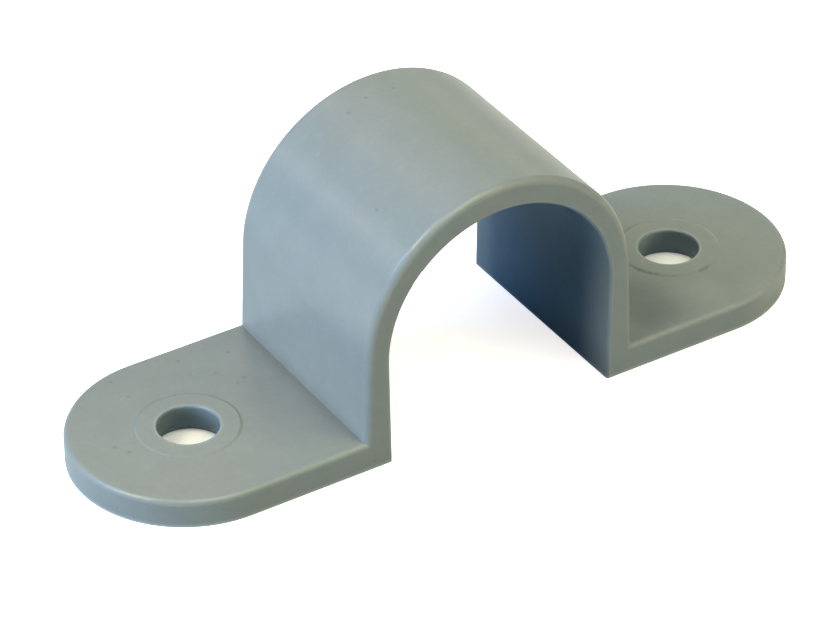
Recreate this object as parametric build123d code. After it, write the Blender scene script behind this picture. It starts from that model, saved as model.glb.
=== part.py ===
from build123d import *
from math import acos, atan2, cos, hypot, sin
import os

# A two-hole saddle clip for round conduit, moulded in one piece from rigid plastic. An arch passes
# over the conduit, two straight legs come down to the wall, and a screw through each ear holds it.
# +X runs from ear to ear, +Y along the conduit, and +Z away from the wall. The origin is the middle
# of the mounting face, between the legs.

# Driving dimensions in millimetres
strap_width = 19.0        # along the conduit, the same for arch, legs and ears
hole_spacing = 44.5       # between the screw holes, which are the centres of the ears' round ends
seat_radius = 10.0        # inside of the arch, for conduit of 20 mm
seat_height = 9.3         # centre of the arch above the wall, a little less than the conduit's radius
foot_gap = 19.7           # between the legs at the wall: they lean in, and grip the conduit
crown_wall = 2.25         # thickness at the top of the arch
shoulder_wall = 1.9       # thickness where the arch runs into the legs
foot_wall = 2.45          # thickness of a leg at the wall
ear_thickness = 2.4
hole_diameter = 4.8       # for a screw of 4 to 4.5 mm
relief_diameter = 5.7     # the hole opens out towards the wall
relief_depth = 0.75
pad_diameter = 7.9        # top of the low round pad that the screw's head bears on
pad_slope = 0.2           # width of the slope round the pad
pad_height = 0.07
arch_rounding = 0.6       # outer edges of the arch and legs
seat_rounding = 0.25      # inner edges of the arch and legs
ear_rounding = 0.45       # top edge of the ears
hole_rounding = 0.15      # upper rim of the screw holes

# Sizes that follow
shoulder_radius = seat_radius + shoulder_wall
crown_height = seat_height + seat_radius + crown_wall
shoulder_height = crown_height - shoulder_radius
foot_span = foot_gap + 2 * foot_wall
overall_length = hole_spacing + strap_width
pad_top = ear_thickness + pad_height
clearance = 1.0           # how far a cutting shape stands out of what it cuts
upright = (Align.CENTER, Align.CENTER, Align.MIN)


def arch_region(foot_width, centre_height, radius):
    """The area under an arch: a round top whose tangents run straight down to the feet."""
    foot_x = foot_width / 2
    reach = hypot(foot_x, centre_height)
    touch_angle = acos(radius / reach) - atan2(centre_height, foot_x)
    touch_x = radius * cos(touch_angle)
    touch_z = centre_height + radius * sin(touch_angle)
    left_leg = Line((-foot_x, 0), (-touch_x, touch_z))
    top = ThreePointArc((-touch_x, touch_z), (0, centre_height + radius), (touch_x, touch_z))
    right_leg = Line((touch_x, touch_z), (foot_x, 0))
    ground = Line((foot_x, 0), (-foot_x, 0))
    return Plane.XZ * make_face([left_leg, top, right_leg, ground])


def make_arch():
    """The arch with its legs: a solid vault with rounded edges, hollowed by the conduit's seat."""
    vault = extrude(arch_region(foot_span, shoulder_height, shoulder_radius), strap_width / 2, both=True)
    outer_edges = vault.edges().filter_by(Plane.XZ).filter_by(lambda edge: (edge @ 0.5).Z > 0.001)
    vault = fillet(outer_edges, arch_rounding)
    tunnel_length = strap_width / 2 + clearance
    tunnel = extrude(arch_region(foot_gap, seat_height, seat_radius), tunnel_length, both=True)
    arch = vault - tunnel
    mouth_edges = arch.edges().filter_by(Plane.XZ)
    mouth_edges = mouth_edges.filter_by(lambda edge: tunnel.distance_to(edge @ 0.5) < 0.001)
    return fillet(mouth_edges, seat_rounding)


def make_ears():
    """Both ears: a plate with round ends and a rounded top edge, open between the legs."""
    plate = extrude(SlotOverall(overall_length, strap_width), ear_thickness)
    top_edges = plate.faces().sort_by(Axis.Z)[-1].edges()
    plate = fillet(top_edges, ear_rounding)
    between_legs = Box(foot_gap + foot_wall, strap_width + 2 * clearance, 2 * pad_top)
    return plate - between_legs


def make_hole():
    """One screw hole: straight from the pad down, then a cone that opens out to the wall."""
    bore = Cylinder(hole_diameter / 2, pad_top + clearance, align=upright)
    relief = Cone(relief_diameter / 2, hole_diameter / 2, relief_depth, align=upright)
    return bore + relief


def make_clip():
    """The whole clip: arch, ears and pads in one solid, with the screw holes through them."""
    clip = make_arch() + make_ears()
    pad = Cone(pad_diameter / 2 + pad_slope, pad_diameter / 2, pad_height, align=upright)
    for side in (-1, 1):
        centre = Pos(side * hole_spacing / 2, 0, 0)
        clip += centre * Pos(0, 0, ear_thickness) * pad
        clip -= centre * make_hole()
    rims = clip.edges().filter_by(GeomType.CIRCLE)
    rims = rims.filter_by(lambda edge: abs(edge.radius - hole_diameter / 2) < 0.001)
    return fillet(rims.group_by(Axis.Z)[-1], hole_rounding)


os.makedirs("parts", exist_ok=True)
export_step(make_clip(), "parts/saddle_clip.step")
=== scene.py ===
from math import cos, radians, sin

import bpy
from mathutils import Matrix, Vector

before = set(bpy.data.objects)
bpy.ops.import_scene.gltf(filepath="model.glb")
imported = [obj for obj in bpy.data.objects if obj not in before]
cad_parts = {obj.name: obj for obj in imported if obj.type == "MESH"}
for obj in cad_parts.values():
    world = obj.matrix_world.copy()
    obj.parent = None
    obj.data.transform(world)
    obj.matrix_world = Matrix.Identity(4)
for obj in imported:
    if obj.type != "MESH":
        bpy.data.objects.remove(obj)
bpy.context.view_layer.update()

# The camera. A long lens looks down on the clip from beyond its left ear, near enough that the far
# ear comes out a little smaller than the near one. The picture is 838 by 628 pixels.
camera_turn = radians(-32.082)        # about +Z, from looking along +Y
camera_height = radians(35.225)       # above the mounting face
camera_roll = radians(-0.305)
camera_distance = 0.33621
camera_target = Vector((0.000008, 0.002394, 0.002879))
sensor_width = 36.0
focal_length = 183.8

turned = (
    Matrix.Rotation(camera_turn, 4, "Z")
    @ Matrix.Rotation(radians(90) - camera_height, 4, "X")
    @ Matrix.Rotation(camera_roll, 4, "Z")
)
backwards = turned @ Vector((0, 0, 1))
lens = bpy.data.cameras.new("camera")
lens.sensor_width = sensor_width
lens.lens = focal_length
camera = bpy.data.objects.new("camera", lens)
camera.matrix_world = Matrix.Translation(camera_target + camera_distance * backwards) @ turned
bpy.context.scene.collection.objects.link(camera)
bpy.context.scene.camera = camera

# The clip. The real one is a single injection moulding in rigid grey plastic, with no paint on it.
# Its satin skin comes from the mould, with a fine grain, and shallow waves where the plastic shrank.
# Screws through the two ears fix it to a wall. Its colour has painted shade in its corners and a painted
# highlight along its edges.
plastic_cool = (0.267, 0.281, 0.287, 1)
plastic_warm = (0.281, 0.283, 0.276, 1)
hole_painted_shade = (0.175, 0.208, 0.232, 1)  # painted shade on the walls of the holes, darker and bluer than the plastic
plastic_index = 1.5
satin = 0.295                         # roughness of the clean skin
satin_smoothest = satin - 0.015
satin_dullest = satin + 0.05
rubbed = 0.45                         # roughness of a pale rub

# Clouds in the plastic and relief of the skin: how many to the metre, and how deep in metres
flow_clouds = 160
flow_range = (0.15, 0.85)             # part of the noise that takes the colour from cool to warm
drift_clouds = 420
pepper_grains = 2600
dull_patches = 240
waves = 110
wave_depth = 0.00002
grains = 1500
grain_depth = 0.0000012

# Shades, which multiply the plastic's colour, painted shade, painted light and a painted highlight among
# them
drift_shades = (0.94, 1.06)
pepper_shades = (0.96, 1.04)
fleck_and_pad_shade = 0.82
rub_shade = 1.08
leg_shadow_shade = 0.82
light_patch_shade = 1.1
painted_corner_shade = 0.42
painted_feet_shade = 0.68
# a painted highlight along the convex edges
painted_edge_highlight = 1.55

# Flecks, rubs and clouds that show on the clip: their middles and radii in millimetres. The last nine
# flecks are painted shade, in two dark stretches along the right pad's edge. The clouds aren't in the
# plastic: they are a painted shadow that the right leg throws on its ear, and painted light beside it.
millimetre = 0.001
# Dark flecks in the plastic; the last nine are painted shade along the right pad's edge
flecks_and_pad_shade = (
    ((-18.8, 7.7, 2.4), 0.22), ((-14.9, 6.6, 2.4), 0.2), ((-17.1, 4.8, 2.4), 0.17),
    ((-15.5, 3.1, 2.4), 0.22), ((-16.3, 2.7, 2.4), 0.15), ((-28.3, 0.6, 2.4), 0.26),
    ((-27.7, -0.5, 2.4), 0.24), ((-24.5, 8.1, 2.4), 0.2), ((-24.3, 5.7, 2.4), 0.18),
    ((-11.5, -9.5, 0.7), 0.18), ((24.0, -9.5, 0.7), 0.16), ((-3.9, 6.2, 20.9), 0.24),
    ((-2.0, 6.7, 21.4), 0.24), ((0.4, 6.5, 21.5), 0.2), ((-7.5, -3.7, 18.9), 0.2),
    ((18.35, -1.0, 2.4), 0.24), ((18.45, -1.35, 2.4), 0.3), ((18.65, -1.75, 2.4), 0.32),
    ((18.95, -2.15, 2.4), 0.3), ((19.3, -2.55, 2.4), 0.24), ((22.5, -4.1, 2.4), 0.26),
    ((22.75, -4.07, 2.4), 0.28), ((23.0, -4.03, 2.4), 0.28), ((23.25, -3.95, 2.4), 0.24),
)
pale_rubs = (
    ((-21.9, 4.1, 2.4), 0.28), ((-6.4, 6.3, 19.7), 0.3), ((-7.4, 5.0, 19.0), 0.26),
    ((-12.0, -1.1, 8.7), 0.22),
)
# A painted shadow beside the right leg, and painted light past it
painted_leg_shadow = (((15.8, -4.0, 2.4), 3.2), ((15.8, -6.2, 2.4), 3.0))
painted_light_patch = (((20.9, -6.6, 2.4), 2.6),)
spot_core = 0.3                       # share of a spot's radius inside which it has its full shade

# Stray flecks all over, in the cells of a loose lattice
fleck_cells = 420                     # to the metre
fleck_radius = 0.00012
fleck_core = 0.4                      # share of the radius that has its full shade
fleck_share = 0.3                     # share of the cells that hold one
fleck_step = 0.01                     # share of the cells over which that fades out

# Painted corner shade and edge highlight, from how much of a half globe stays open to a point of the skin
corner_reach = 0.005
corner_shut, corner_open = 0.15, 0.65
edge_reach = 0.0004
edge_sharp, edge_flat = 0.5, 0.95
openness_samples = 16

# Places on the clip in metres: its holes, and the inside of the legs at their feet, where shade is painted
hole_middle = 0.02225                 # from the clip's middle, on either side
hole_radius = 0.0024
hole_walls = (1.02, 1.06)             # in radii of the hole, where the walls end and the rims begin
seat_half = 0.00995                   # half the gap between the legs
seat_edge = 0.0101
feet_front, feet_back = 0, 0.008
feet_low, feet_high = 0.0005, 0.0035


def shader_node(tree, kind, inputs, **settings):
    """A shader node of one kind. Settings are its own properties; an input takes a value or a link."""
    node = tree.nodes.new("ShaderNode" + kind)
    for name, value in settings.items():
        setattr(node, name, value)
    for socket, value in inputs.items():
        if isinstance(value, bpy.types.NodeSocket):
            tree.links.new(value, node.inputs[socket])
        else:
            node.inputs[socket].default_value = value
    return node


def noise(tree, place, scale, detail):
    """Cloudy noise from 0 to 1, with so many clouds to the metre."""
    return shader_node(tree, "TexNoise", {"Vector": place, "Scale": scale, "Detail": detail}).outputs[0]


def spread(tree, value, from_low, from_high, to_low, to_high):
    """A value moved from one range to another, and held at that range's ends."""
    ranges = {
        "Value": value, "From Min": from_low, "From Max": from_high, "To Min": to_low, "To Max": to_high,
    }
    return shader_node(tree, "MapRange", ranges).outputs["Result"]


def shaded(tree, cover, shade):
    """1 where nothing is covered, and the shade where all is."""
    return spread(tree, cover, 0, 1, 1, shade)


def times(tree, first, second):
    """The product of two values."""
    return shader_node(tree, "Math", {0: first, 1: second}, operation="MULTIPLY").outputs[0]


def larger(tree, first, second):
    """The larger of two values."""
    return shader_node(tree, "Math", {0: first, 1: second}, operation="MAXIMUM").outputs[0]


def between(tree, share, first, second):
    """The first colour at a share of 0, the second at 1, and a blend of both in the range."""
    return shader_node(tree, "Mix", {0: share, 6: first, 7: second}, data_type="RGBA").outputs[2]


def distance(tree, first, second):
    """How far apart two points are."""
    return shader_node(tree, "VectorMath", {0: first, 1: second}, operation="DISTANCE").outputs["Value"]


def spots(tree, place, marks):
    """1 on each mark, fading to 0 at its edge: the distance to its middle, over its radius."""
    cover = 0.0
    for middle, radius in marks:
        gap = distance(tree, place, [millimetre * step for step in middle])
        edge = millimetre * radius
        cover = larger(tree, spread(tree, gap, spot_core * edge, edge, 1, 0), cover)
    return cover


def scattered_flecks(tree, place):
    """1 on small round flecks, one in each cell of a loose lattice, in a share of the cells."""
    cells = shader_node(tree, "TexVoronoi", {"Vector": place, "Scale": fleck_cells}).outputs
    edge = fleck_radius * fleck_cells
    fleck = spread(tree, cells["Distance"], fleck_core * edge, edge, 1, 0)
    draw = shader_node(tree, "SeparateColor", {"Color": cells["Color"]}).outputs[0]
    return times(tree, fleck, spread(tree, draw, fleck_share, fleck_share + fleck_step, 1, 0))


def openness(tree, reach, inside):
    """1 where nothing of the clip is within reach, less in its corners, or inside it at its edges."""
    settings = {"samples": openness_samples, "only_local": True, "inside": inside}
    return shader_node(tree, "AmbientOcclusion", {"Distance": reach}, **settings).outputs["AO"]


def in_holes(tree, place, full, none):
    """1 up to one distance from either hole's axis and 0 past another, both in radii of the hole."""
    level = shader_node(tree, "VectorMath", {0: place, 1: (1, 1, 0)}, operation="MULTIPLY").outputs[0]
    folded = shader_node(tree, "VectorMath", {0: level}, operation="ABSOLUTE").outputs[0]
    gap = distance(tree, folded, (hole_middle, 0, 0))
    return spread(tree, gap, full * hole_radius, none * hole_radius, 1, 0)


def at_feet(tree, place):
    """1 at the feet of the walls that face the conduit, fading upwards and towards the back."""
    parts = shader_node(tree, "SeparateXYZ", {0: place}).outputs
    across = shader_node(tree, "Math", {0: parts["X"]}, operation="ABSOLUTE").outputs[0]
    facing = spread(tree, across, seat_half, seat_edge, 1, 0)
    forward = spread(tree, parts["Y"], feet_front, feet_back, 1, 0)
    low = spread(tree, parts["Z"], feet_low, feet_high, 1, 0)
    return times(tree, times(tree, facing, forward), low)


def bumps(tree, height, depth, **under):
    """The normal of a relief of one depth, on top of another relief's normal if there is one."""
    inputs = {"Height": height, "Strength": 1.0, "Distance": depth, **under}
    return shader_node(tree, "Bump", inputs).outputs["Normal"]


def grey_plastic():
    """Satin grey moulded plastic: clouds, flecks, painted shade and light in the colour, grain and shallow
    waves in the skin.
    """
    material = bpy.data.materials.new("grey_plastic_satin")
    material.use_nodes = True
    tree = material.node_tree
    skin = tree.nodes["Principled BSDF"]
    place = shader_node(tree, "TexCoord", {}).outputs["Object"]

    # Colour: two near greys in clouds and a third, painted shade, in the holes, then all that darkens or
    # pales them
    clouds = spread(tree, noise(tree, place, flow_clouds, detail=4), *flow_range, 0, 1)
    flow = between(tree, clouds, plastic_cool, plastic_warm)
    tint = between(tree, in_holes(tree, place, *hole_walls), flow, hole_painted_shade)
    rubs = spots(tree, place, pale_rubs)
    flecks_and_pad_shade_cover = larger(tree, spots(tree, place, flecks_and_pad_shade), scattered_flecks(tree, place))
    # How open the skin is: this gives painted shade in corners and holes, and a painted highlight at edges
    corners = openness(tree, corner_reach, inside=False)
    edges = openness(tree, edge_reach, inside=True)
    shade = spread(tree, noise(tree, place, drift_clouds, detail=3), 0, 1, *drift_shades)
    for part in (
        spread(tree, noise(tree, place, pepper_grains, detail=2), 0, 1, *pepper_shades),
        # flecks, and painted shade along the right pad's edge
        shaded(tree, flecks_and_pad_shade_cover, fleck_and_pad_shade),
        shaded(tree, rubs, rub_shade),
        # painted shadow beside the right leg, and painted light past it
        shaded(tree, spots(tree, place, painted_leg_shadow), leg_shadow_shade),
        shaded(tree, spots(tree, place, painted_light_patch), light_patch_shade),
        # painted shade in corners and holes, and a painted highlight along the edges
        spread(tree, corners, corner_shut, corner_open, painted_corner_shade, 1),
        spread(tree, edges, edge_sharp, edge_flat, painted_edge_highlight, 1),
        # painted shade at the feet of the legs, inside the arch
        shaded(tree, at_feet(tree, place), painted_feet_shade),
    ):
        shade = times(tree, shade, part)
    colour = shader_node(tree, "VectorMath", {0: tint, "Scale": shade}, operation="SCALE").outputs[0]
    tree.links.new(colour, skin.inputs["Base Color"])

    # Gloss: satin, duller in patches and on the rubs
    dullness = noise(tree, place, dull_patches, detail=3)
    patches = spread(tree, dullness, 0, 1, satin_smoothest, satin_dullest)
    tree.links.new(larger(tree, patches, times(tree, rubs, rubbed)), skin.inputs["Roughness"])
    skin.inputs["IOR"].default_value = plastic_index

    # Relief: the mould's grain on top of shallow waves
    wavy = bumps(tree, noise(tree, place, waves, detail=1), wave_depth)
    grainy = bumps(tree, noise(tree, place, grains, detail=3), grain_depth, Normal=wavy)
    tree.links.new(grainy, skin.inputs["Normal"])
    return material


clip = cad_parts["saddle_clip"]
clip.material_slots[0].material = grey_plastic()

# The floor. A plain dull white board, which the clip rests on. It mirrors in the skin, but throws
# light up into the holes alone, so the inside of the arch stays dark. The camera sees it whiter
# than the skin does, because the photograph's background was cleaned to white round the clip.
floor_half = 0.5
floor_level = -0.00002                # a hair under the clip, so that their faces stay apart
floor_corners = ((-1, -1), (1, -1), (1, 1), (-1, 1))
floor_white = (0.8, 0.8, 0.8, 1)
cleaned_white = (0.71, 0.66, 0.645, 1)
cleaned_in_holes = 0.3                # share of that white in the holes, which weren't cleaned
passed_in_holes = 0.5                 # share of the light that isn't thrown up, in the holes
under_holes = (1.3, 1.35)             # just past the holes' wider foot, in radii of the hole


def white_board():
    """Dull white board that glows to the camera and lets diffuse light through, less so in the holes."""
    material = bpy.data.materials.new("white_board")
    material.use_nodes = True
    tree = material.node_tree
    face = tree.nodes["Principled BSDF"]
    face.inputs["Base Color"].default_value = floor_white
    face.inputs["Roughness"].default_value = 1.0
    face.inputs["Specular IOR Level"].default_value = 0.0
    face.inputs["Emission Color"].default_value = cleaned_white
    rays = shader_node(tree, "LightPath", {}).outputs
    place = shader_node(tree, "TexCoord", {}).outputs["Object"]
    holes = in_holes(tree, place, *under_holes)
    seen = times(tree, rays["Is Camera Ray"], shaded(tree, holes, cleaned_in_holes))
    tree.links.new(seen, face.inputs["Emission Strength"])
    passed = times(tree, rays["Is Diffuse Ray"], shaded(tree, holes, passed_in_holes))
    clear = shader_node(tree, "BsdfTransparent", {}).outputs[0]
    both = shader_node(tree, "MixShader", {0: passed, 1: face.outputs[0], 2: clear}).outputs[0]
    tree.links.new(both, tree.nodes["Material Output"].inputs["Surface"])
    return material


floor_mesh = bpy.data.meshes.new("floor")
corner_points = [(x * floor_half, y * floor_half, floor_level) for x, y in floor_corners]
floor_mesh.from_pydata(corner_points, [], [(0, 1, 2, 3)])
floor_mesh.materials.append(white_board())
floor = bpy.data.objects.new("floor", floor_mesh)
bpy.context.scene.collection.objects.link(floor)

# The light. Soft boxes stand round the clip, bluish at the left where a window would be, and
# warmer overhead and in front. The strong low ones are kept out of the gloss, so that they draw no
# hard lines along the rounded edges. The room adds a faint blue, and is white to the camera.
light_distance = 0.8
watts = 5.0                           # of a box whose strength is 1
room_tint = (0.006, 0.155, 0.355, 1)
seen_white = (1.0, 1.0, 1.0, 1)
picture_gamma = 0.77                  # a little more contrast than the plain picture has


def soft_box(name, azimuth, elevation, width, height, strength, in_gloss=True):
    """A rectangular lamp that faces the clip. Its strength gives red, green and blue in turn."""
    lamp = bpy.data.lights.new(name, "AREA")
    lamp.shape = "RECTANGLE"
    lamp.size = width
    lamp.size_y = height
    brightest = max(strength)
    lamp.energy = watts * brightest
    lamp.color = [part / brightest for part in strength]
    turn, rise = radians(azimuth), radians(elevation)
    towards = Vector((cos(rise) * cos(turn), cos(rise) * sin(turn), sin(rise)))
    stand = bpy.data.objects.new(name, lamp)
    stand.location = light_distance * towards
    stand.rotation_euler = (-towards).to_track_quat("-Z", "Y").to_euler()
    stand.visible_glossy = in_gloss
    bpy.context.scene.collection.objects.link(stand)


soft_box("window_low", 182, 10, 0.30, 0.22, (0.911, 1.033, 1.016), in_gloss=False)
soft_box("window_high", 160, 30, 0.30, 0.25, (0.076, 0.212, 0.517))
soft_box("left_high", 180, 50, 0.30, 0.30, (0.556, 0.482, 0.344))
soft_box("left_back", 150, 60, 0.30, 0.30, (0.221, 0.254, 0.136))
soft_box("ceiling", 270, 70, 0.40, 0.40, (0.330, 0.270, 0.260))
soft_box("front_high", 285, 50, 0.80, 0.70, (0.533, 0.546, 0.237))
soft_box("front_right", 315, 14, 0.50, 0.25, (0.950, 0.820, 0.450), in_gloss=False)
soft_box("streak", 130, 24, 0.10, 0.10, (0.036, 0.028, 0.022))
soft_box("back", 97, 46, 0.16, 0.16, (0.013, 0.008, 0.002))
soft_box("back_wide", 80, 46, 0.50, 0.35, (0.121, 0.086, 0.061))
soft_box("back_fill", 68, 8, 0.50, 0.25, (0.340, 0.290, 0.180), in_gloss=False)
soft_box("right_low", 46, 10, 0.40, 0.20, (0.045, 0.037, 0.034))
soft_box("right", 52, 25, 0.50, 0.30, (0.077, 0.079, 0.038))

world = bpy.data.worlds.new("world")
bpy.context.scene.world = world
world.use_nodes = True
room = world.node_tree.nodes["Background"]
room.inputs["Color"].default_value = room_tint
room.inputs["Strength"].default_value = 1.0
beyond = shader_node(world.node_tree, "Background", {"Color": seen_white, "Strength": 1.0})
by_camera = shader_node(world.node_tree, "LightPath", {}).outputs["Is Camera Ray"]
sides = {0: by_camera, 1: room.outputs[0], 2: beyond.outputs[0]}
either = shader_node(world.node_tree, "MixShader", sides)
world.node_tree.links.new(either.outputs[0], world.node_tree.nodes["World Output"].inputs["Surface"])
bpy.context.scene.view_settings.view_transform = "Standard"
bpy.context.scene.view_settings.gamma = picture_gamma
